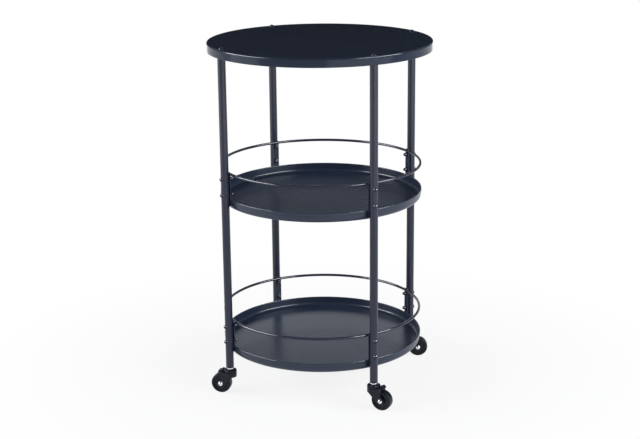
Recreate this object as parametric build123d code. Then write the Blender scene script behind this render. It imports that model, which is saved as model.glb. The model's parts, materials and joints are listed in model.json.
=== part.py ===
from build123d import *
from math import acos, atan2, cos, hypot, radians, sin, sqrt
import os

# A round three-tier serving cart on four casters, in millimetres.
# The origin is on the floor under the centre of the top, +Z is up and -Y is the front.

# Overall sizes, with heights above the floor
TOP_DIAMETER = 420.0
TOP_HEIGHT = 660.0
MIDDLE_RIM_HEIGHT = 379.5
LOWER_RIM_HEIGHT = 93.0

# Pressed sheet of the top panel and the trays
SHEET = 1.2
TOP_SKIRT = 16.0
TOP_EDGE_RADIUS = 2.5
TRAY_DEPTH = 18.5
TRAY_CORNER_RADIUS = 7.5
HEM_HEIGHT = 6.0
HEM_ROUND = 1.0

# Guard rails
RAIL_WIRE = 5.0
RAIL_RISE = 48.0

# Legs and the flat brackets between legs and trays
LEG_DIAMETER = 15.0
LEG_WALL = 1.2
LEG_SKIRT_GAP = 0.1
LEG_ANGLES = {"back_right": 45.0, "back_left": 135.0, "front_left": 225.0, "front_right": 315.0}
BRACKET_WIDTH = 12.5
BRACKET_THICKNESS = 1.6
BRACKET_ABOVE_RAIL = 2.5
BRACKET_TOP_RADIUS = 2.0

# Screws and cap nuts that clamp the brackets to the legs
SCREW_DIAMETER = 4.0
SCREW_HOLE_CLEARANCE = 0.15
SCREW_HEAD_DIAMETER = 8.6
SCREW_HEAD_HEIGHT = 2.8
SCREW_KEY = 2.5
SCREW_KEY_DEPTH = 1.4
SCREW_ABOVE_RIM = 10.0
SCREW_PAST_NUT = 1.5
NUT_WIDTH = 7.0
NUT_HEIGHT = 3.2
NUT_LENGTH = 8.0
NUT_DOME_DIAMETER = 6.4
NUT_RAIL_GAP = 1.5

# Screws through the top panel and the threaded plugs that take them
TOP_SCREW_DIAMETER = 5.0
TOP_SCREW_LENGTH = 14.0
TOP_HEAD_DIAMETER = 9.5
TOP_HEAD_HEIGHT = 3.2
TOP_KEY = 3.0
TOP_KEY_DEPTH = 1.8
PLUG_LENGTH = 20.0

# Caster sockets in the leg feet and the stems that screw into them
SOCKET_LENGTH = 26.0
SOCKET_FLANGE = 1.2
STEM_DIAMETER = 8.0
STEM_LENGTH = 22.0
COLLAR_HEIGHT = 4.5
COLLAR_DIAMETER = 14.0
COLLAR_FOOT_RADIUS = 2.4
KINGPIN_DIAMETER = 6.0
KINGPIN_HEAD_DIAMETER = 9.0
KINGPIN_HEAD_HEIGHT = 1.5

# Wheels
WHEEL_DIAMETER = 38.0
WHEEL_WIDTH = 16.0
TREAD_THICKNESS = 4.5
TREAD_SHOULDER = 3.0
WEB_THICKNESS = 11.6
RIM_THICKNESS = 2.0
RIM_SETBACK = 1.2
HUB_DIAMETER = 12.0
HUB_PROUD = 0.3

# Forks, axles and swivel caps
TRAIL = 17.0
ARM_THICKNESS = 2.2
ARM_ROOT_WIDTH = 12.0
ARM_BOSS_RADIUS = 7.0
DRUM_HEIGHT = 8.7
CROWN_WEB = 4.3
CAP_HEIGHT = 4.5
CAP_EDGE_RADIUS = 1.6
AXLE_DIAMETER = 5.0
AXLE_HEAD_DIAMETER = 8.4
AXLE_HEAD_HEIGHT = 2.0
AXLE_DIMPLE_DIAMETER = 2.8
AXLE_DIMPLE_DEPTH = 1.0
CASTER_HEADINGS = {"back_right": 15.0, "back_left": 160.0, "front_left": 183.0, "front_right": -10.0}

# Brake pedals of the front casters
BRAKED = ("front_left", "front_right")
PEDAL_WIDTH = 13.0
PEDAL_REACH = 6.4
PEDAL_RISE = 1.2
PEDAL_THICKNESS = 3.6
PEDAL_HUB_RADIUS = 2.8
PEDAL_PIN_DIAMETER = 2.6
EAR_RADIUS = 3.4

# Clearances
RUNNING_CLEARANCE = 0.05
SWIVEL_GAP = 0.3
SIDE_GAP = 0.5
ARCH_CLEARANCE = 1.5
RIVET_CLEARANCE = 0.4
PEDAL_CLEARANCE = 0.7

# Radii from the outside in: skirt, legs, brackets, trays and rails
TOP_RADIUS = TOP_DIAMETER / 2
LEG_RADIUS = LEG_DIAMETER / 2
LEG_BORE_RADIUS = LEG_RADIUS - LEG_WALL
LEG_CIRCLE = TOP_RADIUS - TOP_EDGE_RADIUS - LEG_SKIRT_GAP - LEG_RADIUS
BRACKET_OUTER = LEG_CIRCLE - LEG_RADIUS
TRAY_RADIUS = BRACKET_OUTER - BRACKET_THICKNESS
RAIL_RADIUS = TRAY_RADIUS - RAIL_WIRE / 2
SCREW_HOLE_RADIUS = SCREW_DIAMETER / 2 + SCREW_HOLE_CLEARANCE
SCREW_BELOW_RAIL = RAIL_WIRE / 2 + NUT_RAIL_GAP + NUT_WIDTH / sqrt(3)

# Caster widths across the axle, from the wheel outwards
WHEEL_RADIUS = WHEEL_DIAMETER / 2
TREAD_INNER = WHEEL_RADIUS - TREAD_THICKNESS
HUB_HALF = WHEEL_WIDTH / 2 + HUB_PROUD
ARM_INNER = HUB_HALF + SIDE_GAP
ARM_OUTER = ARM_INNER + ARM_THICKNESS
DRUM_RADIUS = hypot(ARM_OUTER, ARM_ROOT_WIDTH / 2)

# Caster heights from the floor up
AXLE_HEIGHT = WHEEL_RADIUS
ARCH_RADIUS = WHEEL_RADIUS + ARCH_CLEARANCE
KINGPIN_HEAD_RADIUS = KINGPIN_HEAD_DIAMETER / 2
ARCH_AT_KINGPIN = sqrt(max(ARCH_RADIUS**2 - (TRAIL - KINGPIN_HEAD_RADIUS) ** 2, 0.0))
KINGPIN_FOOT = AXLE_HEIGHT + ARCH_AT_KINGPIN + RIVET_CLEARANCE
KINGPIN_SEAT = KINGPIN_FOOT + KINGPIN_HEAD_HEIGHT + SWIVEL_GAP
DRUM_TOP = KINGPIN_SEAT + CROWN_WEB
DRUM_FOOT = DRUM_TOP - DRUM_HEIGHT
CAP_FOOT = DRUM_TOP + SWIVEL_GAP
CAP_TOP = CAP_FOOT + CAP_HEIGHT
COLLAR_TOP = CAP_TOP + COLLAR_HEIGHT
LEG_FOOT = COLLAR_TOP + SOCKET_FLANGE
LEG_TOP = TOP_HEIGHT - SHEET

# Brake pivot, behind the swivel cap and above the tread
PIVOT_BACK = DRUM_RADIUS + PEDAL_HUB_RADIUS + PEDAL_CLEARANCE
PIVOT_HEIGHT = WHEEL_DIAMETER + PEDAL_HUB_RADIUS + PEDAL_CLEARANCE

TIERS = {"middle": MIDDLE_RIM_HEIGHT, "lower": LOWER_RIM_HEIGHT}


def rod(radius, low, high):
    """A round bar on the Z axis between two heights."""
    return Pos(0, 0, low) * Cylinder(radius, high - low, align=(Align.CENTER, Align.CENTER, Align.MIN))


def cross_rod(radius, half_length):
    """A round bar along Y, centred on the origin."""
    return Rot(90, 0, 0) * Cylinder(radius, 2 * half_length)


def radial_rod(radius, inner, outer, height):
    """A round bar along X between two distances from the centre."""
    return Pos(inner, 0, height) * Rot(0, 90, 0) * rod(radius, 0, outer - inner)


def spun(outline):
    """A turned solid from a closed outline drawn as radius and height."""
    return revolve(Plane.XZ * outline, Axis.Z)


def extruded_across(outline, low, high):
    """A plate from an outline drawn in X and Z, between two places along Y."""
    return extrude(Plane.XZ.offset(-high) * outline, high - low)


def at_leg(name, shape):
    """Turn a shape that was made on the +X side to a leg's side of the cart."""
    return Rot(0, 0, LEG_ANGLES[name]) * shape


def at_caster(name, shape):
    """Set a shape that was made on the swivel axis, trailing to +X, under its leg."""
    turn = radians(LEG_ANGLES[name])
    place = Pos(LEG_CIRCLE * cos(turn), LEG_CIRCLE * sin(turn), 0)
    return place * Rot(0, 0, CASTER_HEADINGS[name]) * shape


def save(node, *solids):
    """Write one node, as a single solid or as a group of equal fasteners."""
    shape = solids[0] if len(solids) == 1 else Compound(children=list(solids))
    export_step(shape, f"parts/{node}.step")


def pan_outline(radius, depth, corner):
    """Half section of an open pan that stands on height zero."""
    floor = Rectangle(radius, depth, align=(Align.MIN, Align.MIN))
    outer = fillet(floor.vertices().group_by(Axis.X)[-1].sort_by(Axis.Y)[0], corner)
    hollow = Pos(0, SHEET) * Rectangle(radius - SHEET, depth, align=(Align.MIN, Align.MIN))
    if corner > SHEET:
        hollow = fillet(hollow.vertices().group_by(Axis.X)[-1].sort_by(Axis.Y)[0], corner - SHEET)
    return outer - hollow


def screw_heights(rim):
    """Heights of the two screws of a bracket."""
    return (rim + SCREW_ABOVE_RIM, rim + RAIL_RISE - SCREW_BELOW_RAIL)


def top_panel():
    """Flat disc with a rounded edge and a skirt, drilled above each leg."""
    pan = spun(pan_outline(TOP_RADIUS, TOP_SKIRT, TOP_EDGE_RADIUS))
    panel = Pos(0, 0, TOP_HEIGHT) * Rot(180, 0, 0) * pan
    hole = Pos(LEG_CIRCLE, 0, 0) * rod(TOP_SCREW_DIAMETER / 2 + SCREW_HOLE_CLEARANCE, LEG_TOP, TOP_HEIGHT)
    for name in LEG_ANGLES:
        panel -= at_leg(name, hole)
    return panel


def tray(rim):
    """Shallow pan whose wall ends in a hem folded to the outside."""
    pan = spun(pan_outline(TRAY_RADIUS - SHEET, TRAY_DEPTH, TRAY_CORNER_RADIUS))
    corner = Pos(TRAY_RADIUS - 2 * SHEET, TRAY_DEPTH - HEM_HEIGHT)
    fold = corner * Rectangle(2 * SHEET, HEM_HEIGHT, align=(Align.MIN, Align.MIN))
    crown = fillet(fold.vertices().group_by(Axis.Y)[-1], min(HEM_ROUND, 0.9 * SHEET))
    wall_top = corner * Rectangle(SHEET, HEM_HEIGHT, align=(Align.MIN, Align.MIN))
    return Pos(0, 0, rim - TRAY_DEPTH) * (pan - spun(wall_top) + spun(crown))


def rail(rim):
    """Closed ring of round wire above a tray."""
    return Pos(0, 0, rim + RAIL_RISE) * Torus(RAIL_RADIUS, RAIL_WIRE / 2)


def bracket(rim):
    """Flat strip from the tray's hem up to the rail, on the +X side."""
    foot = rim - TRAY_DEPTH + TRAY_CORNER_RADIUS
    height = rim + RAIL_RISE + BRACKET_ABOVE_RAIL - foot
    strip = Pos(TRAY_RADIUS, 0, foot) * Box(
        BRACKET_THICKNESS, BRACKET_WIDTH, height, align=(Align.MIN, Align.CENTER, Align.MIN)
    )
    corners = strip.edges().filter_by(Axis.X).group_by(Axis.Z)[-1]
    strip = fillet(corners, min(BRACKET_TOP_RADIUS, 0.45 * BRACKET_WIDTH))
    for level in screw_heights(rim):
        strip -= radial_rod(SCREW_HOLE_RADIUS, TRAY_RADIUS, BRACKET_OUTER, level)
    return strip


def leg():
    """Straight tube, cross-drilled for the bracket screws, on the +X side."""
    tube = rod(LEG_RADIUS, LEG_FOOT, LEG_TOP) - rod(LEG_BORE_RADIUS, LEG_FOOT, LEG_TOP)
    tube = Pos(LEG_CIRCLE, 0, 0) * tube
    for rim in TIERS.values():
        for height in screw_heights(rim):
            tube -= radial_rod(SCREW_HOLE_RADIUS, TRAY_RADIUS, TOP_RADIUS, height)
    return tube


def dome(radius, height):
    """Low round head that stands on height zero."""
    ball = (radius**2 + height**2) / (2 * height)
    return Pos(0, 0, height - ball) * Sphere(ball) & rod(radius, 0, height)


def key_head(radius, height, key, key_depth):
    """Low round head with a hexagon socket."""
    socket = extrude(RegularPolygon(key / 2, 6, major_radius=False), key_depth)
    return dome(radius, height) - Pos(0, 0, height - key_depth) * socket


def leg_screw(height):
    """Screw through leg and bracket, its head shaped to the round of the leg."""
    head_radius = SCREW_HEAD_DIAMETER / 2
    outer = LEG_CIRCLE + LEG_RADIUS
    saddle = outer - LEG_RADIUS + sqrt(LEG_RADIUS**2 - head_radius**2)
    end = TRAY_RADIUS - NUT_HEIGHT - SCREW_PAST_NUT
    cap = key_head(head_radius, SCREW_HEAD_HEIGHT, SCREW_KEY, SCREW_KEY_DEPTH)
    head = Pos(outer, 0, height) * Rot(0, 90, 0) * cap + radial_rod(head_radius, saddle, outer, height)
    head -= Pos(LEG_CIRCLE, 0, 0) * rod(LEG_RADIUS, height - LEG_RADIUS, height + LEG_RADIUS)
    return head + radial_rod(SCREW_DIAMETER / 2, end, outer, height)


def leg_nut(height):
    """Domed cap nut on the inside of a bracket, with the screw's end inside it."""
    radius = NUT_DOME_DIAMETER / 2
    shoulder = NUT_LENGTH - radius
    nut = extrude(RegularPolygon(NUT_WIDTH / 2, 6, major_radius=False), NUT_HEIGHT)
    nut += rod(radius, 0, shoulder) + Pos(0, 0, shoulder) * Sphere(radius)
    nut -= rod(SCREW_DIAMETER / 2, 0, NUT_HEIGHT + SCREW_PAST_NUT)
    return Pos(TRAY_RADIUS, 0, height) * Rot(0, -90, 0) * nut


def top_screw():
    """Round-headed screw through the top panel into a leg plug."""
    head = key_head(TOP_HEAD_DIAMETER / 2, TOP_HEAD_HEIGHT, TOP_KEY, TOP_KEY_DEPTH)
    shank = rod(TOP_SCREW_DIAMETER / 2, -TOP_SCREW_LENGTH, 0)
    return Pos(LEG_CIRCLE, 0, TOP_HEIGHT) * (head + shank)


def leg_plug():
    """Threaded plug in the top of a leg."""
    plug = rod(LEG_BORE_RADIUS, LEG_TOP - PLUG_LENGTH, LEG_TOP)
    plug -= rod(TOP_SCREW_DIAMETER / 2, LEG_TOP - PLUG_LENGTH, LEG_TOP)
    return Pos(LEG_CIRCLE, 0, 0) * plug


def caster_socket():
    """Flanged insert in the foot of a leg."""
    socket = rod(LEG_BORE_RADIUS, LEG_FOOT, COLLAR_TOP + SOCKET_LENGTH)
    socket += rod(LEG_RADIUS, COLLAR_TOP, LEG_FOOT)
    return socket - rod(STEM_DIAMETER / 2, COLLAR_TOP, COLLAR_TOP + SOCKET_LENGTH)


def caster_stem():
    """Stem, round-footed collar and kingpin with its riveted foot, turned in one piece."""
    stem = rod(STEM_DIAMETER / 2, COLLAR_TOP, COLLAR_TOP + STEM_LENGTH)
    collar = rod(COLLAR_DIAMETER / 2, CAP_TOP, COLLAR_TOP)
    collar = fillet(collar.edges().group_by(Axis.Z)[0], min(COLLAR_FOOT_RADIUS, 0.9 * COLLAR_HEIGHT))
    kingpin = rod(KINGPIN_DIAMETER / 2, KINGPIN_FOOT, CAP_TOP)
    rivet = rod(KINGPIN_HEAD_RADIUS, KINGPIN_FOOT, KINGPIN_FOOT + KINGPIN_HEAD_HEIGHT)
    return stem + collar + kingpin + rivet


def swivel_cap():
    """Round cap that sits still on the kingpin above the turning fork."""
    cap = rod(DRUM_RADIUS, CAP_FOOT, CAP_TOP)
    cap = fillet(cap.edges().filter_by(GeomType.CIRCLE), min(CAP_EDGE_RADIUS, 0.45 * CAP_HEIGHT))
    return cap - rod(KINGPIN_DIAMETER / 2, CAP_FOOT, CAP_TOP)


def tangent_point(start, centre, radius, side):
    """Where a line from a point touches a circle, on its left or right side."""
    reach = hypot(centre[0] - start[0], centre[1] - start[1])
    angle = atan2(start[1] - centre[1], start[0] - centre[0]) + side * acos(radius / reach)
    return (centre[0] + radius * cos(angle), centre[1] + radius * sin(angle))


def arm_outline():
    """Side view of a fork arm, from the drum to the round boss at the axle."""
    half = ARM_ROOT_WIDTH / 2
    axle = (TRAIL, AXLE_HEIGHT)
    front = tangent_point((-half, DRUM_FOOT), axle, ARM_BOSS_RADIUS, 1)
    back = tangent_point((half, DRUM_TOP), axle, ARM_BOSS_RADIUS, -1)
    corners = [(-half, DRUM_TOP), (-half, DRUM_FOOT), front, axle, back, (half, DRUM_TOP)]
    return make_face(Polyline(corners, close=True)) + Pos(*axle) * Circle(ARM_BOSS_RADIUS)


def ear_outline():
    """Side view of the ear that carries the brake pin, clear of the swivel cap."""
    drum_corner = (ARM_ROOT_WIDTH / 2, DRUM_TOP)
    cap_edge = (sqrt(DRUM_RADIUS**2 - ARM_INNER**2) + PEDAL_CLEARANCE, DRUM_TOP)
    root = (TRAIL, AXLE_HEIGHT + ARM_BOSS_RADIUS)
    pivot = (PIVOT_BACK, PIVOT_HEIGHT)
    upper = tangent_point(cap_edge, pivot, EAR_RADIUS, -1)
    lower = tangent_point(root, pivot, EAR_RADIUS, 1)
    corners = [drum_corner, (0, DRUM_FOOT), root, lower, pivot, upper, cap_edge]
    return make_face(Polyline(corners, close=True)) + Pos(*pivot) * Circle(EAR_RADIUS)


def fork(braked):
    """Turning drum with two arms that reach back to the axle."""
    body = rod(DRUM_RADIUS, DRUM_FOOT, DRUM_TOP)
    outline = arm_outline() + ear_outline() if braked else arm_outline()
    body += extruded_across(outline, ARM_INNER, ARM_OUTER)
    body += extruded_across(outline, -ARM_OUTER, -ARM_INNER)
    body -= Pos(TRAIL, 0, AXLE_HEIGHT) * cross_rod(ARCH_RADIUS, ARM_INNER)
    body -= Pos(TRAIL, 0, AXLE_HEIGHT) * cross_rod(AXLE_DIAMETER / 2, ARM_OUTER)
    body -= rod(KINGPIN_DIAMETER / 2 + RUNNING_CLEARANCE, DRUM_FOOT, DRUM_TOP)
    body -= rod(KINGPIN_HEAD_RADIUS + SWIVEL_GAP, DRUM_FOOT, KINGPIN_SEAT)
    if braked:
        body -= Pos(PIVOT_BACK, 0, PIVOT_HEIGHT) * cross_rod(PEDAL_PIN_DIAMETER / 2, ARM_OUTER)
    return body


def axle():
    """Riveted axle with a round head outside each arm."""
    head = dome(AXLE_HEAD_DIAMETER / 2, AXLE_HEAD_HEIGHT)
    head -= rod(AXLE_DIMPLE_DIAMETER / 2, AXLE_HEAD_HEIGHT - AXLE_DIMPLE_DEPTH, AXLE_HEAD_HEIGHT)
    pin = cross_rod(AXLE_DIAMETER / 2, ARM_OUTER)
    pin += Pos(0, -ARM_OUTER, 0) * Rot(90, 0, 0) * head
    pin += Pos(0, ARM_OUTER, 0) * Rot(-90, 0, 0) * head
    return Pos(TRAIL, 0, AXLE_HEIGHT) * pin


def on_axle(shape):
    """Stand a shape that was turned about Z on the axle, across the fork."""
    return Pos(TRAIL, 0, AXLE_HEIGHT) * Rot(90, 0, 0) * shape


def wheel():
    """Wheel core: hub, web and rim turned in one piece."""
    rim_half = WHEEL_WIDTH / 2 - RIM_SETBACK
    core = rod(TREAD_INNER, -rim_half, rim_half)
    recess = rod(TREAD_INNER - RIM_THICKNESS, WEB_THICKNESS / 2, rim_half)
    core -= recess
    core -= Rot(180, 0, 0) * recess
    core += rod(HUB_DIAMETER / 2, -HUB_HALF, HUB_HALF)
    core -= rod(AXLE_DIAMETER / 2 + RUNNING_CLEARANCE, -HUB_HALF, HUB_HALF)
    return on_axle(core)


def tyre():
    """Tread ring with rounded shoulders."""
    ring = rod(WHEEL_RADIUS, -WHEEL_WIDTH / 2, WHEEL_WIDTH / 2)
    ring = fillet(ring.edges().filter_by(GeomType.CIRCLE), min(TREAD_SHOULDER, 0.9 * TREAD_THICKNESS))
    return on_axle(ring - rod(TREAD_INNER, -WHEEL_WIDTH / 2, WHEEL_WIDTH / 2))


def brake_pedal():
    """Short pedal that turns on the brake pin above the tread."""
    hub = Circle(PEDAL_HUB_RADIUS)
    toe = Pos(PEDAL_REACH - PEDAL_THICKNESS / 2, PEDAL_RISE) * Circle(PEDAL_THICKNESS / 2)
    outline = make_hull(hub.edges() + toe.edges())
    tab = extruded_across(outline, -PEDAL_WIDTH / 2, PEDAL_WIDTH / 2)
    pedal = tab + cross_rod(PEDAL_HUB_RADIUS, ARM_INNER - SIDE_GAP)
    pedal -= cross_rod(PEDAL_PIN_DIAMETER / 2 + RUNNING_CLEARANCE, ARM_INNER)
    return Pos(PIVOT_BACK, 0, PIVOT_HEIGHT) * pedal


def brake_pin():
    """Plain pin through both ears and the pedal."""
    return Pos(PIVOT_BACK, 0, PIVOT_HEIGHT) * cross_rod(PEDAL_PIN_DIAMETER / 2, ARM_OUTER)


os.makedirs("parts", exist_ok=True)

save("top_panel", top_panel())
save("top_screws", *[at_leg(name, top_screw()) for name in LEG_ANGLES])

for tier, rim in TIERS.items():
    save(f"{tier}_tray", tray(rim))
    save(f"{tier}_rail", rail(rim))
    places = [(name, height) for name in LEG_ANGLES for height in screw_heights(rim)]
    save(f"{tier}_screws", *[at_leg(name, leg_screw(height)) for name, height in places])
    save(f"{tier}_nuts", *[at_leg(name, leg_nut(height)) for name, height in places])
    for name in LEG_ANGLES:
        save(f"{tier}_bracket_{name}", at_leg(name, bracket(rim)))

for name in LEG_ANGLES:
    save(f"leg_{name}", at_leg(name, leg()))
    save(f"leg_plug_{name}", at_leg(name, leg_plug()))
    save(f"caster_socket_{name}", at_caster(name, caster_socket()))
    save(f"caster_stem_{name}", at_caster(name, caster_stem()))
    save(f"swivel_cap_{name}", at_caster(name, swivel_cap()))
    save(f"fork_{name}", at_caster(name, fork(name in BRAKED)))
    save(f"axle_{name}", at_caster(name, axle()))
    save(f"wheel_{name}", at_caster(name, wheel()))
    save(f"tyre_{name}", at_caster(name, tyre()))

for name in BRAKED:
    save(f"brake_pedal_{name}", at_caster(name, brake_pedal()))
    save(f"brake_pin_{name}", at_caster(name, brake_pin()))
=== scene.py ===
import json
import math

import bmesh
import bpy
from mathutils import Matrix, Vector


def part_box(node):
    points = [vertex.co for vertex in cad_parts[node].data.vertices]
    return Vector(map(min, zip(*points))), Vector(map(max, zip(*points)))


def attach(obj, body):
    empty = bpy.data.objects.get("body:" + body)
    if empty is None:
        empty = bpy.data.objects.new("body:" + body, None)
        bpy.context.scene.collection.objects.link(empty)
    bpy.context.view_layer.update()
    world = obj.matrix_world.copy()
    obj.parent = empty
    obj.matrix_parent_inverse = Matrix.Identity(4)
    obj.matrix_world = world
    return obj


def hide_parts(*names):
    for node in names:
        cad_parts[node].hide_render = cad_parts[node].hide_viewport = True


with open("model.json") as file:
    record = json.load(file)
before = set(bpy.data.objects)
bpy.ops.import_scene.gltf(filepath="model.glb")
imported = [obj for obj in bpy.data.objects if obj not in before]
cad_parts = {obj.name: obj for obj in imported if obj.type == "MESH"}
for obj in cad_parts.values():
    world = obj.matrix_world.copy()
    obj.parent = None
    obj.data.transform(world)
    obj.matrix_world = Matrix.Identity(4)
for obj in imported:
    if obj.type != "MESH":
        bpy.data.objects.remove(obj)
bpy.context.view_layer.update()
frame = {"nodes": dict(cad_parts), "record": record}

# A round three-tier serving cart, in metres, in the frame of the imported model

MM = 0.001
LEGS = ("back_right", "back_left", "front_left", "front_right")
TIERS = ("middle", "lower")
BRAKED = ("front_left", "front_right")


def centre(node):
    """Middle of a node's box."""
    low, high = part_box(node)
    return (low + high) / 2


def height_of(node):
    """Height of a node's box."""
    low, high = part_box(node)
    return high.z - low.z


def across(node):
    """Width of a round node about Z."""
    low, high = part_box(node)
    return high.x - low.x


# Sheet, wire and strip
SHEET = 1.2 * MM
TOP_EDGE_RADIUS = 2.5 * MM
SKIRT_LIP_RADIUS = 0.5 * MM
TRAY_CORNER_RADIUS = 7.5 * MM
HEM_HEIGHT = 6.0 * MM
HEM_RADIUS = 1.0 * MM
HEM_FOOT_RADIUS = 0.6 * MM
STRAP_WIDTH = 12.5 * MM
STRAP_THICKNESS = 1.6 * MM
STRAP_TOP_RADIUS = 2.0 * MM
STRAP_EDGE = 0.4 * MM
LEG_WALL = 1.2 * MM
LEG_END_RADIUS = 0.4 * MM

# Fasteners
SCREW_RADIUS = 2.0 * MM
SCREW_HEAD_RADIUS = 4.3 * MM
SCREW_HEAD_HEIGHT = 2.8 * MM
SCREW_KEY = 2.5 * MM
SCREW_KEY_DEPTH = 1.4 * MM
SCREW_PAST_NUT = 1.5 * MM
THREAD_PITCH = 0.7 * MM
THREAD_DEPTH = 0.35 * MM
NUT_WIDTH = 7.0 * MM
NUT_HEIGHT = 3.2 * MM
NUT_LENGTH = 8.0 * MM
NUT_DOME_RADIUS = 3.2 * MM
NUT_CHAMFER = 0.5 * MM
NUT_CHAMFER_SLOPE = math.radians(30.0)
NUT_DOME_STEPS = 10
TOP_HEAD_RADIUS = 4.75 * MM
TOP_HEAD_HEIGHT = 3.2 * MM
TOP_KEY = 3.0 * MM
TOP_KEY_DEPTH = 1.8 * MM
TOP_SCREW_RADIUS = 2.5 * MM
TOP_SCREW_LENGTH = 14.0 * MM

# Casters
STEM_RADIUS = 4.0 * MM
COLLAR_HEIGHT = 4.5 * MM
COLLAR_RADIUS = 7.0 * MM
COLLAR_FOOT_RADIUS = 2.4 * MM
COLLAR_EDGE = 0.5 * MM
KINGPIN_RADIUS = 3.0 * MM
KINGPIN_HEAD_RADIUS = 4.5 * MM
KINGPIN_HEAD_HEIGHT = 1.5 * MM
CAP_EDGE_RADIUS = 1.6 * MM
SOCKET_FLANGE = 1.2 * MM
WHEEL_WIDTH = 16.0 * MM
TREAD_THICKNESS = 4.5 * MM
TREAD_SHOULDER = 3.0 * MM
RIM_SETBACK = 1.2 * MM
RIM_THICKNESS = 2.0 * MM
WEB_THICKNESS = 11.6 * MM
HUB_RADIUS = 6.0 * MM
HUB_PROUD = 0.3 * MM
HUB_EDGE = 0.6 * MM
WEB_FILLET = 0.4 * MM
AXLE_RADIUS = 2.5 * MM
AXLE_HEAD_RADIUS = 4.2 * MM
AXLE_HEAD_HEIGHT = 2.0 * MM
AXLE_DIMPLE_RADIUS = 1.4 * MM
AXLE_DIMPLE_DEPTH = 1.0 * MM
ARM_OUTER = 11.0 * MM
RUNNING_GAP = 0.05 * MM
MOULDED_EDGE = 0.3 * MM

# Places read from the frame
TOP_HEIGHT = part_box("top_panel")[1].z
TOP_RADIUS = across("top_panel") / 2
LEG_RADIUS = across("leg_front_left") / 2
LEG_CIRCLE = Vector(centre("leg_front_left")[:2]).length
TRAY_RADIUS = across("middle_tray") / 2
TRAY_INNER_RADIUS = TRAY_RADIUS - 2 * SHEET
FIRST_LEG = math.atan2(centre("leg_back_right").y, centre("leg_back_right").x)


class Value:
    """A node's output that takes part in sums: each operator adds a Math node."""

    def __init__(self, nodes, socket):
        self.nodes = nodes
        self.socket = socket

    def math(self, operation, first, second):
        return self.nodes.node("ShaderNodeMath", {"operation": operation}, {0: first, 1: second})

    def __add__(self, other):
        return self.math("ADD", self, other)

    def __radd__(self, other):
        return self.math("ADD", other, self)

    def __sub__(self, other):
        return self.math("SUBTRACT", self, other)

    def __rsub__(self, other):
        return self.math("SUBTRACT", other, self)

    def __mul__(self, other):
        return self.math("MULTIPLY", self, other)

    def __rmul__(self, other):
        return self.math("MULTIPLY", other, self)


class Nodes:
    """A node tree, with one method that adds any node."""

    def __init__(self, tree):
        self.tree = tree

    def node(self, kind, settings=None, inputs=None, output=0):
        """Add a node, set it up, fill or link its sockets and hand back one output."""
        made = self.tree.nodes.new(kind)
        for name, value in (settings or {}).items():
            if name == "stops":
                self.set_stops(made.color_ramp, value)
            else:
                setattr(made, name, value)
        for name, value in (inputs or {}).items():
            if isinstance(value, Value):
                self.tree.links.new(value.socket, made.inputs[name])
            else:
                made.inputs[name].default_value = value
        return Value(self, made.outputs[output]) if made.outputs else None

    def set_stops(self, ramp, stops):
        """Give a colour ramp its places and colours."""
        while len(ramp.elements) < len(stops):
            ramp.elements.new(1.0)
        for element, (place, tone) in zip(ramp.elements, stops):
            element.position = place
            element.color = tone

    def ramp(self, value, start, end):
        """Smooth step from 0 to 1 between two values."""
        inputs = {"Value": value, "From Min": start, "From Max": end}
        return self.node("ShaderNodeMapRange", {"interpolation_type": "SMOOTHSTEP"}, inputs)

    def mix(self, share, first, second):
        """Colour between two others."""
        inputs = {0: share, 6: first, 7: second}
        return self.node("ShaderNodeMix", {"data_type": "RGBA"}, inputs, output=2)


class Finish(Nodes):
    """One procedural finish and its material."""

    def __init__(self, name):
        self.material = bpy.data.materials.new(name)
        self.material.use_nodes = True
        super().__init__(self.material.node_tree)
        self.tree.nodes.clear()
        self.place = self.node("ShaderNodeTexCoord", output="Object")

    def noise(self, scale, detail=2.0, roughness=0.5):
        """Cloudy pattern from 0 to 1 with so many lumps to the metre."""
        inputs = {"Vector": self.place, "Scale": scale, "Detail": detail, "Roughness": roughness}
        return self.node("ShaderNodeTexNoise", inputs=inputs, output="Fac")

    def upward_highlight_mask(self):
        """1 where a face leans upwards, as on a rounded edge, 0 on level and upright faces: it lays the
        glossy coat of a painted highlight where the lamps' highlights fall.
        """
        normal = self.node("ShaderNodeNewGeometry", output="Normal")
        lean = self.node("ShaderNodeSeparateXYZ", inputs={"Vector": normal}, output="Z")
        return self.ramp(lean, *LEAN_START) * (1.0 - self.ramp(lean, *LEAN_END))

    def reach(self):
        """Distance from the upright axis."""
        level = (1.0, 1.0, 0.0)
        flat = self.node("ShaderNodeVectorMath", {"operation": "MULTIPLY"}, {0: self.place, 1: level})
        return self.node("ShaderNodeVectorMath", {"operation": "LENGTH"}, {0: flat}, output="Value")

    def bump(self, height, strength, depth):
        """Normal of a surface with that relief."""
        inputs = {"Height": height, "Strength": strength, "Distance": depth}
        return self.node("ShaderNodeBump", inputs=inputs)

    def surface(self, **sockets):
        """Close the finish with one surface shader."""
        inputs = {name.replace("_", " "): value for name, value in sockets.items()}
        shader = self.node("ShaderNodeBsdfPrincipled", inputs=inputs)
        self.node("ShaderNodeOutputMaterial", inputs={"Surface": shader})
        return self.material


def colour(red, green, blue):
    """Linear colour with full cover."""
    return (red, green, blue, 1.0)


NOISE_MIDDLE = 0.5

# Upward share of a face's normal where the painted-highlight coat sets in and where it fades again
LEAN_START = (0.20, 0.36)
LEAN_END = (0.86, 0.97)

# Powder coat: lumps to the metre, shares of the fine speckle and relief, and the painted-highlight coat
# on upward-leaning edges
PEEL_SCALE = 700.0
SPECKLE_SCALE = 2600.0
DRIFT_SCALE = 9.0
SPECKLE_IN_COLOUR = 0.4
SPECKLE_IN_RELIEF = 0.3
SPECKLE_IN_GLOSS = 0.2
DRIFT_IN_GLOSS = 0.25
PEEL_STRENGTH = 0.06
PEEL_DEPTH = 0.3 * MM
HIGHLIGHT_COAT_ROUGHNESS = 0.14
HIGHLIGHT_COAT_INDEX = 1.8
HIGHLIGHT_RIM_FADE = 0.3 * MM
HIGHLIGHT_INSIDE_SHARE = 0.3


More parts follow.
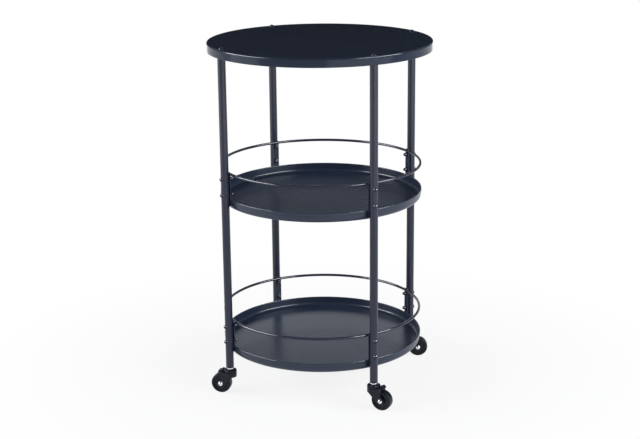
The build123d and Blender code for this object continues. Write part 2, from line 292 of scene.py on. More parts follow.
def powder_coat(name, deep, lit, gloss, shine, highlight_rim_reach=0.0):
    """Semi-gloss blue-black powder coat with its faint orange peel, and a painted highlight: a glossy
    coat laid only on its upward-leaning edges, where the lamps' highlights fall.
    """
    coat = Finish(name)
    peel = coat.noise(PEEL_SCALE, detail=1.0)
    speckle = coat.noise(SPECKLE_SCALE, detail=0.0)
    drift = coat.noise(DRIFT_SCALE, detail=3.0)
    shade = drift * (1.0 - SPECKLE_IN_COLOUR) + speckle * SPECKLE_IN_COLOUR
    base = coat.mix(shade, deep, lit)
    unevenness = DRIFT_IN_GLOSS * (drift - NOISE_MIDDLE) + SPECKLE_IN_GLOSS * (speckle - NOISE_MIDDLE)
    rough = gloss * (1.0 + unevenness)
    height = peel * (1.0 - SPECKLE_IN_RELIEF) + speckle * SPECKLE_IN_RELIEF
    relief = coat.bump(height, PEEL_STRENGTH, PEEL_DEPTH)
    # Painted highlight: a glossy coat only on upward-leaning faces, where the lamps' highlights fall,
    # weaker inside a tray's rim
    edge = coat.ramp(coat.reach(), highlight_rim_reach - HIGHLIGHT_RIM_FADE, highlight_rim_reach)
    painted_highlight_coat = coat.upward_highlight_mask() * (HIGHLIGHT_INSIDE_SHARE + (1.0 - HIGHLIGHT_INSIDE_SHARE) * edge)
    return coat.surface(
        Base_Color=base, Roughness=rough, Normal=relief, Specular_IOR_Level=shine,
        Coat_Weight=painted_highlight_coat, Coat_Roughness=HIGHLIGHT_COAT_ROUGHNESS, Coat_IOR=HIGHLIGHT_COAT_INDEX,
    )


# Plated steel: lumps to the metre, shares in the gloss and relief, and the coat of the heads' painted
# glints
CLOUD_SCALE = 160.0
TURNING_SCALE = 1900.0
CLOUD_IN_GLOSS = 0.12
TURNING_IN_GLOSS = 0.06
TURNING_STRENGTH = 0.05
TURNING_DEPTH = 0.1 * MM
GLINT_COAT_ROUGHNESS = 0.10
GLINT_COAT_INDEX = 2.2


def plated_steel(name, deep, lit, gloss, metal, shine=0.5, glint_coat=0.0):
    """Plated steel with fine turning marks, and painted glints: a glossy coat laid only on upward-leaning
    faces, where the lamps' glints fall.
    """
    steel = Finish(name)
    cloud = steel.noise(CLOUD_SCALE, detail=3.0)
    grain = steel.noise(TURNING_SCALE)
    base = steel.mix(cloud, deep, lit)
    rough = gloss + CLOUD_IN_GLOSS * (cloud - NOISE_MIDDLE) + TURNING_IN_GLOSS * (grain - NOISE_MIDDLE)
    relief = steel.bump(grain, TURNING_STRENGTH, TURNING_DEPTH)
    # Painted glints: the glossy coat lies only on upward-leaning faces
    return steel.surface(
        Base_Color=base, Roughness=rough, Normal=relief, Metallic=metal, Specular_IOR_Level=shine,
        Coat_Weight=glint_coat * steel.upward_highlight_mask(), Coat_Roughness=GLINT_COAT_ROUGHNESS, Coat_IOR=GLINT_COAT_INDEX,
    )


# Mouldings: lumps to the metre, shares in the gloss and relief
SCUFF_SCALE = 60.0
SCUFF_IN_GLOSS = 0.15
GRAIN_IN_GLOSS = 0.06
GRAIN_STRENGTH = 0.12


def moulded(name, deep, lit, gloss, shine, grain_scale, grain_depth):
    """Moulded black plastic or rubber with a fine grain."""
    mould = Finish(name)
    grain = mould.noise(grain_scale, roughness=0.6)
    scuff = mould.noise(SCUFF_SCALE, detail=4.0, roughness=0.65)
    base = mould.mix(scuff, deep, lit)
    rough = gloss + SCUFF_IN_GLOSS * (scuff - NOISE_MIDDLE) + GRAIN_IN_GLOSS * (grain - NOISE_MIDDLE)
    relief = mould.bump(grain, GRAIN_STRENGTH, grain_depth)
    return mould.surface(Base_Color=base, Roughness=rough, Normal=relief, Specular_IOR_Level=shine)


COAT_DEEP = colour(0.0205, 0.0288, 0.0520)
COAT_LIT = colour(0.0255, 0.0350, 0.0630)
TUBE_COAT_DEEP = colour(0.0180, 0.0208, 0.0400)
TUBE_COAT_LIT = colour(0.0222, 0.0255, 0.0486)
# The top has the same powder coat as the trays, painted darker and given less shine so that it renders
# darker: painted shade.
TOP_COAT_DEEP = colour(0.0116, 0.0196, 0.0370)
TOP_COAT_LIT = colour(0.0140, 0.0230, 0.0424)

FINISHES = {
    "coated_top": powder_coat(
        "top_powder_coat", TOP_COAT_DEEP, TOP_COAT_LIT, gloss=0.15, shine=0.19
    ),
    # Trays: the painted-highlight coat is full on the rim and weaker inside it
    "coated_steel": powder_coat(
        "tray_powder_coat", COAT_DEEP, COAT_LIT, gloss=0.27, shine=0.36, highlight_rim_reach=TRAY_INNER_RADIUS
    ),
    "coated_tube": powder_coat(
        "tube_powder_coat", TUBE_COAT_DEEP, TUBE_COAT_LIT, gloss=0.24, shine=0.36
    ),
    "coated_wire": powder_coat(
        "wire_powder_coat", TUBE_COAT_DEEP, TUBE_COAT_LIT, gloss=0.20, shine=0.36
    ),
    "coated_strip": powder_coat(
        "strip_powder_coat", COAT_DEEP, COAT_LIT, gloss=0.24, shine=0.36
    ),
    # Screws and nuts carry painted glints from a glossy coat on their upward-leaning faces
    "black_screws": plated_steel(
        "black_screw_plate", colour(0.014, 0.018, 0.036), colour(0.019, 0.024, 0.046),
        gloss=0.15, metal=0.0, shine=0.32, glint_coat=1.0,
    ),
    "steel_nuts": plated_steel(
        "black_nut_plate", colour(0.009, 0.012, 0.024), colour(0.013, 0.017, 0.032),
        gloss=0.16, metal=0.0, shine=0.36, glint_coat=0.6,
    ),
    "plug_steel": plated_steel(
        "turned_plug_steel", colour(0.40, 0.40, 0.41), colour(0.50, 0.50, 0.51), gloss=0.36, metal=1.0
    ),
    "zinc": plated_steel(
        "bright_zinc", colour(0.72, 0.73, 0.76), colour(0.84, 0.85, 0.88), gloss=0.24, metal=1.0
    ),
    "black_nylon": moulded(
        "fork_nylon", colour(0.008, 0.010, 0.018), colour(0.012, 0.015, 0.025),
        gloss=0.30, shine=0.22, grain_scale=1500.0, grain_depth=0.15 * MM,
    ),
    "wheel_plastic": moulded(
        "wheel_plastic", colour(0.007, 0.009, 0.017), colour(0.011, 0.014, 0.024),
        gloss=0.22, shine=0.22, grain_scale=1100.0, grain_depth=0.1 * MM,
    ),
    "tread": moulded(
        "tread_rubber", colour(0.006, 0.008, 0.014), colour(0.010, 0.012, 0.020),
        gloss=0.34, shine=0.20, grain_scale=1300.0, grain_depth=0.2 * MM,
    ),
}


# Outlines

ARC_STEP = math.radians(12.0)
DOME_STEP = math.radians(6.0)
FLAT_HOLD = 0.1 * MM


def arc_points(corner, before, after, radius):
    """Points of the round that replaces one corner of an outline."""
    to_before = (before - corner).normalized()
    to_after = (after - corner).normalized()
    opening = to_before.angle(to_after)
    middle = (to_before + to_after).normalized()
    hub = corner + middle * (radius / math.sin(opening / 2))
    start = corner + to_before * (radius / math.tan(opening / 2)) - hub
    end = corner + to_after * (radius / math.tan(opening / 2)) - hub
    sweep = start.angle_signed(end)
    steps = max(2, math.ceil(abs(sweep) / ARC_STEP))
    turns = [Matrix.Rotation(-sweep * i / steps, 2) for i in range(steps + 1)]
    arc = [hub + turn @ start for turn in turns]
    return [arc[0] + to_before * FLAT_HOLD, *arc, arc[-1] + to_after * FLAT_HOLD]


def outline(*corners, closed=False):
    """Points of an outline whose corners may carry a radius as a third number."""
    spots = [Vector(corner[:2]) for corner in corners]
    points = []
    for i, corner in enumerate(corners):
        inner = closed or 0 < i < len(corners) - 1
        if inner and len(corner) == 3:
            points += arc_points(spots[i], spots[i - 1], spots[(i + 1) % len(spots)], corner[2])
        else:
            points.append(spots[i])
    return points


def line_mesh(points, closed=False):
    """Mesh of edges along an outline, drawn as radius and height."""
    mesh = bpy.data.meshes.new("outline")
    edges = [(i, i + 1) for i in range(len(points) - 1)]
    if closed:
        edges.append((len(points) - 1, 0))
    mesh.from_pydata([(p.x, 0.0, p.y) for p in points], edges, [])
    return mesh


# Geometry Nodes trees

TURNING_CIRCLE = 1.0
MERGE_DISTANCE = 1e-6
SHARP_ANGLE = math.radians(32.0)
FLAT_ANGLE = math.radians(0.5)


class ShapeTree(Nodes):
    """A Geometry Nodes tree with named inputs, ending in a plain mesh with its finish."""

    def __init__(self, name, **kinds):
        super().__init__(bpy.data.node_groups.new(name, "GeometryNodeTree"))
        interface = self.tree.interface
        interface.new_socket("Geometry", in_out="OUTPUT", socket_type="NodeSocketGeometry")
        interface.new_socket("Geometry", in_out="INPUT", socket_type="NodeSocketGeometry")
        self.identifiers = {}
        for label, kind in {**kinds, "Finish": "Material"}.items():
            name = label.replace("_", " ")
            socket = interface.new_socket(name, in_out="INPUT", socket_type="NodeSocket" + kind)
            self.identifiers[label] = socket.identifier
        self.entry = self.tree.nodes.new("NodeGroupInput")

    def given(self, label):
        """One of the tree's inputs."""
        return Value(self, self.entry.outputs[label.replace("_", " ")])

    def vector(self, x=0.0, y=0.0, z=0.0):
        """Vector from three values."""
        return self.node("ShaderNodeCombineXYZ", inputs={"X": x, "Y": y, "Z": z})

    def close(self, geometry):
        """Realize what the tree made, give it its finish and end the tree."""
        plain = self.node("GeometryNodeRealizeInstances", inputs={"Geometry": geometry})
        inputs = {"Geometry": plain, "Material": self.given("Finish")}
        done = self.node("GeometryNodeSetMaterial", inputs=inputs)
        self.node("NodeGroupOutput", inputs={"Geometry": done})
        return self

    def grow(self, mesh, **values):
        """Run the tree on a mesh and hand back the finished mesh."""
        thing = bpy.data.objects.new("blank", mesh)
        bpy.context.scene.collection.objects.link(thing)
        modifier = thing.modifiers.new("shape", "NODES")
        modifier.node_group = self.tree
        for label, value in values.items():
            modifier[self.identifiers[label]] = value
        depsgraph = bpy.context.evaluated_depsgraph_get()
        made = bpy.data.meshes.new_from_object(thing.evaluated_get(depsgraph), depsgraph=depsgraph)
        bpy.data.objects.remove(thing)
        bpy.data.meshes.remove(mesh)
        return made


def turning_tree():
    """Spins an outline about Z, closes its poles and keeps its sharp edges."""
    tree = ShapeTree("turned_piece", Steps="Int")
    laid = tree.node(
        "GeometryNodeTransform",
        inputs={
            "Geometry": tree.given("Geometry"),
            "Translation": (-TURNING_CIRCLE, 0.0, 0.0),
            "Rotation": (math.pi / 2, 0.0, 0.0),
        },
    )
    section = tree.node("GeometryNodeMeshToCurve", inputs={"Mesh": laid})
    circle = tree.node(
        "GeometryNodeCurvePrimitiveCircle",
        inputs={"Resolution": tree.given("Steps"), "Radius": TURNING_CIRCLE},
    )
    skin = tree.node("GeometryNodeCurveToMesh", inputs={"Curve": circle, "Profile Curve": section})
    joined = tree.node(
        "GeometryNodeMergeByDistance", inputs={"Geometry": skin, "Distance": MERGE_DISTANCE}
    )
    smooth = tree.node(
        "GeometryNodeSetShadeSmooth", {"domain": "FACE"}, {"Geometry": joined, "Shade Smooth": True}
    )
    fold = tree.node("GeometryNodeInputMeshEdgeAngle", output="Unsigned Angle")
    sharp = tree.node("ShaderNodeMath", {"operation": "GREATER_THAN"}, {0: fold, 1: SHARP_ANGLE})
    edged = tree.node(
        "GeometryNodeSetShadeSmooth",
        {"domain": "EDGE"},
        {"Geometry": smooth, "Selection": sharp, "Shade Smooth": False},
    )
    return tree.close(edged)


def ring_tree():
    """Repeats one piece round Z, in one or more rows, each copy turned to face outwards."""
    tree = ShapeTree(
        "ring_of_copies",
        Copies="Int", Circle_Radius="Float", First_Angle="Float",
        Rows="Int", Lowest_Height="Float", Row_Pitch="Float",
    )
    ring = tree.node(
        "GeometryNodeMeshCircle",
        inputs={"Vertices": tree.given("Copies"), "Radius": tree.given("Circle_Radius")},
    )
    aimed = tree.node(
        "GeometryNodeTransform",
        inputs={"Geometry": ring, "Rotation": tree.vector(z=tree.given("First_Angle"))},
    )
    column = tree.node(
        "GeometryNodeMeshLine",
        inputs={
            "Count": tree.given("Rows"),
            "Start Location": tree.vector(z=tree.given("Lowest_Height")),
            "Offset": tree.vector(z=tree.given("Row_Pitch")),
        },
    )
    rows = tree.node("GeometryNodeInstanceOnPoints", inputs={"Points": column, "Instance": aimed})
    spots = tree.node("GeometryNodeRealizeInstances", inputs={"Geometry": rows})
    place = tree.node("GeometryNodeInputPosition")
    x = tree.node("ShaderNodeSeparateXYZ", inputs={"Vector": place}, output="X")
    y = tree.node("ShaderNodeSeparateXYZ", inputs={"Vector": place}, output="Y")
    facing = tree.node("ShaderNodeMath", {"operation": "ARCTAN2"}, {0: y, 1: x})
    copies = tree.node(
        "GeometryNodeInstanceOnPoints",
        inputs={
            "Points": spots,
            "Instance": tree.given("Geometry"),
            "Rotation": tree.vector(z=facing),
        },
    )
    return tree.close(copies)


TURNED = turning_tree()
RING = ring_tree()

LARGE_STEPS = 224
WHEEL_STEPS = 96
SMALL_STEPS = 56
WIRE_STEPS = 24


def turned(points, slot, steps=SMALL_STEPS, closed=False):
    """Mesh of an outline spun about Z."""
    return TURNED.grow(line_mesh(points, closed), Steps=steps, Finish=FINISHES[slot])


def piece(name, mesh, body, slot, *nodes):
    """Finished piece that rides on a body and stands for the nodes it replaces."""
    thing = bpy.data.objects.new(name, mesh)
    bpy.context.scene.collection.objects.link(thing)
    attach(thing, body)
    if nodes:
        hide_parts(*nodes)
    return thing


def softened(mesh, slot, width, segments=2):
    """Mesh with its edges eased and its finish set."""
    thing = bpy.data.objects.new("blank", mesh)
    bpy.context.scene.collection.objects.link(thing)
    bevel = thing.modifiers.new("edges", "BEVEL")
    bevel.width = width
    bevel.segments = segments
    bevel.limit_method = "ANGLE"
    bevel.angle_limit = SHARP_ANGLE
    weighted = thing.modifiers.new("normals", "WEIGHTED_NORMAL")
    weighted.keep_sharp = True
    mesh.shade_smooth()
    depsgraph = bpy.context.evaluated_depsgraph_get()
    made = bpy.data.meshes.new_from_object(thing.evaluated_get(depsgraph), depsgraph=depsgraph)
    bpy.data.objects.remove(thing)
    bpy.data.meshes.remove(mesh)
    made.materials.clear()
    made.materials.append(FINISHES[slot])
    return made


def plate(points, low, high):
    """Mesh of a flat outline in Y and Z, extruded along X."""
    form = bmesh.new()
    ring = [form.verts.new((low, p.x, p.y)) for p in points]
    face = form.faces.new(ring)
    lifted = bmesh.ops.extrude_face_region(form, geom=[face])["geom"]
    far_side = [part for part in lifted if isinstance(part, bmesh.types.BMVert)]
    bmesh.ops.translate(form, verts=far_side, vec=(high - low, 0.0, 0.0))
    bmesh.ops.recalc_face_normals(form, faces=form.faces)
    mesh = bpy.data.meshes.new("plate")
    form.to_mesh(mesh)
    form.free()
    return mesh


def merged_copy(node):
    """Copy of a node's mesh with its triangles joined into whole faces."""
    form = bmesh.new()
    form.from_mesh(frame["nodes"][node].data)
    bmesh.ops.remove_doubles(form, verts=form.verts, dist=MERGE_DISTANCE)
    bmesh.ops.dissolve_limit(form, angle_limit=FLAT_ANGLE, verts=form.verts, edges=form.edges)
    mesh = bpy.data.meshes.new(node)
    form.to_mesh(mesh)
    form.free()
    return mesh


def moved(mesh, matrix):
    """The mesh itself, set in its place."""
    mesh.transform(matrix)
    return mesh


# Top, trays, rails and legs

def round_top():
    """Flat disc with a rolled edge and a turned-down skirt."""
    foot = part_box("top_panel")[0].z
    inner = TOP_RADIUS - SHEET
    under = TOP_HEIGHT - SHEET
    points = outline(
        (0.0, TOP_HEIGHT),
        (TOP_RADIUS, TOP_HEIGHT, TOP_EDGE_RADIUS),
        (TOP_RADIUS, foot, SKIRT_LIP_RADIUS),
        (inner, foot, SKIRT_LIP_RADIUS),
        (inner, under, TOP_EDGE_RADIUS - SHEET),
        (0.0, under),
    )
    piece("round_top", turned(points, "coated_top", LARGE_STEPS), "frame", "coated_steel", "top_panel")


def tray_pan(tier):
    """Shallow pan with a folded hem along the outside of its rim."""
    node = f"{tier}_tray"
    low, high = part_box(node)
    floor = low.z + SHEET
    wall = TRAY_RADIUS - SHEET
    hem_foot = high.z - HEM_HEIGHT
    points = outline(
        (0.0, floor),
        (TRAY_INNER_RADIUS, floor, TRAY_CORNER_RADIUS - SHEET),
        (TRAY_INNER_RADIUS, high.z, HEM_RADIUS),
        (TRAY_RADIUS, high.z, HEM_RADIUS),
        (TRAY_RADIUS, hem_foot, HEM_FOOT_RADIUS),
        (wall, hem_foot),
        (wall, low.z, TRAY_CORNER_RADIUS),
        (0.0, low.z),
    )
    piece(f"{tier}_pan", turned(points, "coated_steel", LARGE_STEPS), "frame", "coated_steel", node)


def guard_rail(tier):
    """Ring of round wire."""
    node = f"{tier}_rail"
    wire = height_of(node) / 2
    ring = across(node) / 2 - wire
    level = centre(node).z
    turns = [-2 * math.pi * i / WIRE_STEPS for i in range(WIRE_STEPS)]
    points = [Vector((ring + wire * math.cos(a), level + wire * math.sin(a))) for a in turns]
    mesh = turned(points, "coated_wire", LARGE_STEPS, closed=True)
    piece(f"{tier}_guard_rail", mesh, "frame", "coated_wire", node)


def leg_tube(leg):
    """Straight tube with its ends broken."""
    node = f"leg_{leg}"
    low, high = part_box(node)
    bore = LEG_RADIUS - LEG_WALL
    points = outline(
        (bore, high.z), (LEG_RADIUS, high.z), (LEG_RADIUS, low.z, LEG_END_RADIUS), (bore, low.z),
        closed=True,
    )
    mesh = turned(points, "coated_tube", closed=True)
    spot = centre(node)
    moved(mesh, Matrix.Translation((spot.x, spot.y, 0.0)))
    piece(f"tube_{leg}", mesh, "frame", "coated_tube", node)


def leg_turn(leg):
    """Turn about Z from the +X side to a leg's side."""
    spot = centre(f"leg_{leg}")
    return Matrix.Rotation(math.atan2(spot.y, spot.x), 4, "Z")


def strap(tier, leg):
    """Flat strip between a tray, a rail and a leg."""
    node = f"{tier}_bracket_{leg}"
    low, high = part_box(node)
    half = STRAP_WIDTH / 2
    points = outline(
        (-half, low.z),
        (half, low.z),
        (half, high.z, STRAP_TOP_RADIUS),
        (-half, high.z, STRAP_TOP_RADIUS),
        closed=True,
    )
    mesh = plate(points, TRAY_RADIUS, TRAY_RADIUS + STRAP_THICKNESS)
    mesh = softened(mesh, "coated_strip", STRAP_EDGE)
    piece(f"{tier}_strap_{leg}", moved(mesh, leg_turn(leg)), "frame", "coated_strip", node)


# Fasteners

KEY_SIDES = 6
SCREW_STEPS = 48


def key_socket(mesh, depth):
    """Close the open crown of a screw head with a hexagon socket."""
    form = bmesh.new()
    form.from_mesh(mesh)
    rim = {vertex for edge in form.edges if edge.is_boundary for vertex in edge.verts}
    rim = sorted(rim, key=lambda vertex: math.atan2(vertex.co.y, vertex.co.x))
    side = len(rim) // KEY_SIDES
    mouth = rim[::side]
    floor = [form.verts.new(corner.co - Vector((0.0, 0.0, depth))) for corner in mouth]
    for i in range(KEY_SIDES):
        j = (i + 1) % KEY_SIDES
        form.faces.new([rim[(i * side + k) % len(rim)] for k in range(side + 1)])
        form.faces.new((mouth[j], mouth[i], floor[i], floor[j]))
    form.faces.new(floor)
    bmesh.ops.recalc_face_normals(form, faces=form.faces)
    form.to_mesh(mesh)
    form.free()
    return mesh


def dome_points(radius, height, mouth):
    """Outline of a low round head from the edge of its mouth out to its rim."""
    ball = (radius**2 + height**2) / (2 * height)
    first = math.asin(mouth / ball)
    last = math.asin(radius / ball)
    steps = max(2, math.ceil((last - first) / DOME_STEP))
    slopes = [first + (last - first) * i / steps for i in range(steps + 1)]
    return [Vector((ball * math.sin(a), height - ball + ball * math.cos(a))) for a in slopes]


def thread_points(radius, start, end):
    """Outline of a thread between two heights, from the upper one down."""
    turns = math.floor((start - end) / THREAD_PITCH)
    points = []
    for i in range(turns):
        level = start - i * THREAD_PITCH
        points += [Vector((radius, level)), Vector((radius - THREAD_DEPTH, level - THREAD_PITCH / 2))]
    return points + [Vector((radius - THREAD_DEPTH, end)), Vector((0.0, end))]


def key_screw(head_radius, head_height, skirt, key, key_depth, shank_radius, thread_top, foot):
    """Round-headed screw along Z with a hexagon socket, its head standing on height zero."""
    points = dome_points(head_radius, head_height, key / math.sqrt(3))
    points += [Vector((head_radius, -skirt)), Vector((shank_radius, -skirt))]
    points += thread_points(shank_radius, thread_top, foot)
    return key_socket(turned(points, "black_screws", SCREW_STEPS), key_depth)


def cap_nut():
    """Hexagon cap nut along Z, seated on height zero, with a dome over the screw's end."""
    turns = [2 * math.pi * i / SCREW_STEPS for i in range(SCREW_STEPS)]
    side = math.pi / 3
    flats = [NUT_WIDTH / 2 / math.cos(a % side - side / 2) for a in turns]
    crown = NUT_WIDTH / 2 - NUT_CHAMFER / 2
    drops = [(reach - crown) * math.tan(NUT_CHAMFER_SLOPE) for reach in flats]
    shoulder = NUT_LENGTH - NUT_DOME_RADIUS
    rises = [math.pi / 2 * i / NUT_DOME_STEPS for i in range(NUT_DOME_STEPS)]
    dome = [(NUT_DOME_RADIUS * math.cos(b), shoulder + NUT_DOME_RADIUS * math.sin(b)) for b in rises]
    bore_end = NUT_HEIGHT + SCREW_PAST_NUT
    round_loops = [(SCREW_RADIUS, bore_end), (SCREW_RADIUS, 0.0)]
    loops = [[spot for a in turns] for spot in round_loops]
    loops.append([(reach, 0.0) for reach in flats])
    loops.append([(reach, NUT_HEIGHT - drop) for reach, drop in zip(flats, drops)])
    round_loops = [(crown, NUT_HEIGHT), (NUT_DOME_RADIUS, NUT_HEIGHT), *dome]
    loops += [[spot for a in turns] for spot in round_loops]
    form = bmesh.new()
    rings = [
        [form.verts.new((r * math.cos(a), r * math.sin(a), z)) for (r, z), a in zip(loop, turns)]
        for loop in loops
    ]
    for ring, following in zip(rings, rings[1:]):
        for i in range(SCREW_STEPS):
            j = (i + 1) % SCREW_STEPS
            form.faces.new((ring[i], following[i], following[j], ring[j]))
    form.faces.new(rings[0])
    pole = form.verts.new((0.0, 0.0, NUT_LENGTH))
    for i in range(SCREW_STEPS):
        form.faces.new((rings[-1][i], pole, rings[-1][(i + 1) % SCREW_STEPS]))
    bmesh.ops.recalc_face_normals(form, faces=form.faces)
    mesh = bpy.data.meshes.new("cap_nut")
    form.to_mesh(mesh)
    form.free()
    mesh.shade_smooth()
    mesh.set_sharp_from_angle(angle=SHARP_ANGLE)
    return mesh


LYING_OUTWARDS = Matrix.Rotation(math.pi / 2, 4, "Y")
LYING_INWARDS = Matrix.Rotation(-math.pi / 2, 4, "Y")


def leg_screws(tier):
    """Two screws through each leg and strap of a tier."""
    low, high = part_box(f"{tier}_screws")
    lowest = low.z + SCREW_HEAD_RADIUS
    saddle = LEG_RADIUS - math.sqrt(LEG_RADIUS**2 - SCREW_HEAD_RADIUS**2)
    outer = LEG_CIRCLE + LEG_RADIUS
    screw = key_screw(
        SCREW_HEAD_RADIUS, SCREW_HEAD_HEIGHT, saddle, SCREW_KEY, SCREW_KEY_DEPTH,
        SCREW_RADIUS, TRAY_RADIUS - outer, TRAY_RADIUS - NUT_HEIGHT - SCREW_PAST_NUT - outer,
    )
    mesh = RING.grow(
        moved(screw, LYING_OUTWARDS),
        Copies=len(LEGS), Circle_Radius=outer, First_Angle=FIRST_LEG,
        Rows=2, Lowest_Height=lowest, Row_Pitch=high.z - SCREW_HEAD_RADIUS - lowest,
        Finish=FINISHES["black_screws"],
    )
    piece(f"{tier}_leg_screws", mesh, "frame", "black_screws", f"{tier}_screws")


def leg_nuts(tier):
    """A cap nut on the inside end of each leg screw."""
    low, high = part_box(f"{tier}_screws")
    lowest = low.z + SCREW_HEAD_RADIUS
    mesh = RING.grow(
        moved(cap_nut(), LYING_INWARDS),
        Copies=len(LEGS), Circle_Radius=TRAY_RADIUS, First_Angle=FIRST_LEG,
        Rows=2, Lowest_Height=lowest, Row_Pitch=high.z - SCREW_HEAD_RADIUS - lowest,
        Finish=FINISHES["steel_nuts"],
    )
    piece(f"{tier}_leg_nuts", mesh, "frame", "steel_nuts", f"{tier}_nuts")


def top_cap_screws():
    """One round-headed screw above each leg."""
    screw = key_screw(
        TOP_HEAD_RADIUS, TOP_HEAD_HEIGHT, 0.0, TOP_KEY, TOP_KEY_DEPTH,
        TOP_SCREW_RADIUS, -SHEET, -TOP_SCREW_LENGTH,
    )
    mesh = RING.grow(
        screw,
        Copies=len(LEGS), Circle_Radius=LEG_CIRCLE, First_Angle=FIRST_LEG,
        Rows=1, Lowest_Height=TOP_HEIGHT, Row_Pitch=0.0,
        Finish=FINISHES["black_screws"],
    )
    piece("top_cap_screws", mesh, "frame", "black_screws", "top_screws")


# Casters

def at_caster(leg):
    """Place of a caster: on its swivel axis, with X towards its trailing wheel."""
    stem = centre(f"caster_stem_{leg}")
    trail = centre(f"tyre_{leg}") - stem
    heading = Matrix.Rotation(math.atan2(trail.y, trail.x), 4, "Z")
    return Matrix.Translation((stem.x, stem.y, 0.0)) @ heading


def on_axle(leg):
    """Place of a wheel: Z along its axle."""
    hub = at_caster(leg).inverted() @ centre(f"tyre_{leg}")
    return at_caster(leg) @ Matrix.Translation(hub) @ Matrix.Rotation(math.pi / 2, 4, "X")


def foot_insert(leg):
    """Flanged insert that closes the foot of a leg."""
    node = f"caster_socket_{leg}"
    low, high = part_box(node)
    bore = LEG_RADIUS - LEG_WALL
    step = low.z + SOCKET_FLANGE
    points = outline(
        (STEM_RADIUS, high.z), (bore, high.z, MOULDED_EDGE), (bore, step),
        (LEG_RADIUS, step, MOULDED_EDGE), (LEG_RADIUS, low.z, MOULDED_EDGE), (STEM_RADIUS, low.z),
        closed=True,
    )
    mesh = moved(turned(points, "black_nylon", closed=True), at_caster(leg))
    piece(f"foot_insert_{leg}", mesh, "frame", "black_nylon", node)


def stem_collar(leg):
    """Bright stem with its round-footed collar and riveted kingpin."""
    node = f"caster_stem_{leg}"
    low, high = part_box(node)
    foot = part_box(f"swivel_cap_{leg}")[1].z
    top = foot + COLLAR_HEIGHT
    points = outline(
        (0.0, high.z),
        (STEM_RADIUS, high.z, COLLAR_EDGE),
        (STEM_RADIUS, top),
        (COLLAR_RADIUS, top, COLLAR_EDGE),
        (COLLAR_RADIUS, foot, COLLAR_FOOT_RADIUS),
        (KINGPIN_RADIUS, foot),
        (KINGPIN_RADIUS, low.z + KINGPIN_HEAD_HEIGHT),
        (KINGPIN_HEAD_RADIUS, low.z + KINGPIN_HEAD_HEIGHT),
        (KINGPIN_HEAD_RADIUS, low.z, COLLAR_EDGE),
        (0.0, low.z),
    )
    mesh = moved(turned(points, "zinc"), at_caster(leg))
    piece(f"stem_collar_{leg}", mesh, "frame", "zinc", node)


def bearing_cap(leg):
    """Round cap above the turning fork."""
    node = f"swivel_cap_{leg}"
    low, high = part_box(node)
    radius = across(node) / 2
    points = outline(
        (KINGPIN_RADIUS, high.z),
        (radius, high.z, CAP_EDGE_RADIUS),
        (radius, low.z, CAP_EDGE_RADIUS),
        (KINGPIN_RADIUS, low.z),
        closed=True,
    )
    mesh = moved(turned(points, "black_nylon", closed=True), at_caster(leg))
    piece(f"bearing_cap_{leg}", mesh, "frame", "black_nylon", node)


def yoke(leg):
    """Fork with its moulded edges eased."""
    node = f"fork_{leg}"
    mesh = softened(merged_copy(node), "black_nylon", MOULDED_EDGE)
    piece(f"yoke_{leg}", mesh, f"fork_{leg}", "black_nylon", node)


def axle_pin(leg):
    """Axle with a dimpled round head outside each arm."""
    crown = dome_points(AXLE_HEAD_RADIUS, AXLE_HEAD_HEIGHT, AXLE_DIMPLE_RADIUS)
    dimple = [
        Vector((0.0, AXLE_HEAD_HEIGHT - AXLE_DIMPLE_DEPTH)),
        Vector((AXLE_DIMPLE_RADIUS, AXLE_HEAD_HEIGHT - AXLE_DIMPLE_DEPTH)),
    ]
    upper = [point + Vector((0.0, ARM_OUTER)) for point in dimple + crown]
    upper.append(Vector((AXLE_RADIUS, ARM_OUTER)))
    lower = [Vector((point.x, -point.y)) for point in reversed(upper)]
    mesh = moved(turned(upper + lower, "zinc"), on_axle(leg))
    piece(f"axle_pin_{leg}", mesh, f"fork_{leg}", "zinc", f"axle_{leg}")


def wheel_core(leg):
    """Hub, web and rim of a wheel."""
    radius = height_of(f"tyre_{leg}") / 2
    rim = radius - TREAD_THICKNESS
    well = rim - RIM_THICKNESS
    half = WHEEL_WIDTH / 2 - RIM_SETBACK
    web = WEB_THICKNESS / 2
    hub = WHEEL_WIDTH / 2 + HUB_PROUD
    upper = [
        (AXLE_RADIUS + RUNNING_GAP, hub),
        (HUB_RADIUS, hub, HUB_EDGE),
        (HUB_RADIUS, web, WEB_FILLET),
        (well, web, WEB_FILLET),
        (well, half, MOULDED_EDGE),
        (rim, half),
    ]
    lower = [(corner[0], -corner[1], *corner[2:]) for corner in reversed(upper)]
    mesh = turned(outline(*upper, *lower, closed=True), "wheel_plastic", WHEEL_STEPS, closed=True)
    piece(f"wheel_core_{leg}", moved(mesh, on_axle(leg)), f"wheel_{leg}", "wheel_plastic", f"wheel_{leg}")


def tread_ring(leg):
    """Tread with rounded shoulders."""
    radius = height_of(f"tyre_{leg}") / 2
    bore = radius - TREAD_THICKNESS
    half = WHEEL_WIDTH / 2
    points = outline(
        (bore, half), (radius, half, TREAD_SHOULDER), (radius, -half, TREAD_SHOULDER), (bore, -half),
        closed=True,
    )
    mesh = moved(turned(points, "tread", WHEEL_STEPS, closed=True), on_axle(leg))
    piece(f"tread_ring_{leg}", mesh, f"wheel_{leg}", "tread", f"tyre_{leg}")


def foot_pedal(leg):
    """Brake pedal with its moulded edges eased."""
    node = f"brake_pedal_{leg}"
    mesh = softened(merged_copy(node), "black_nylon", MOULDED_EDGE)
    piece(f"foot_pedal_{leg}", mesh, f"brake_{leg}", "black_nylon", node)


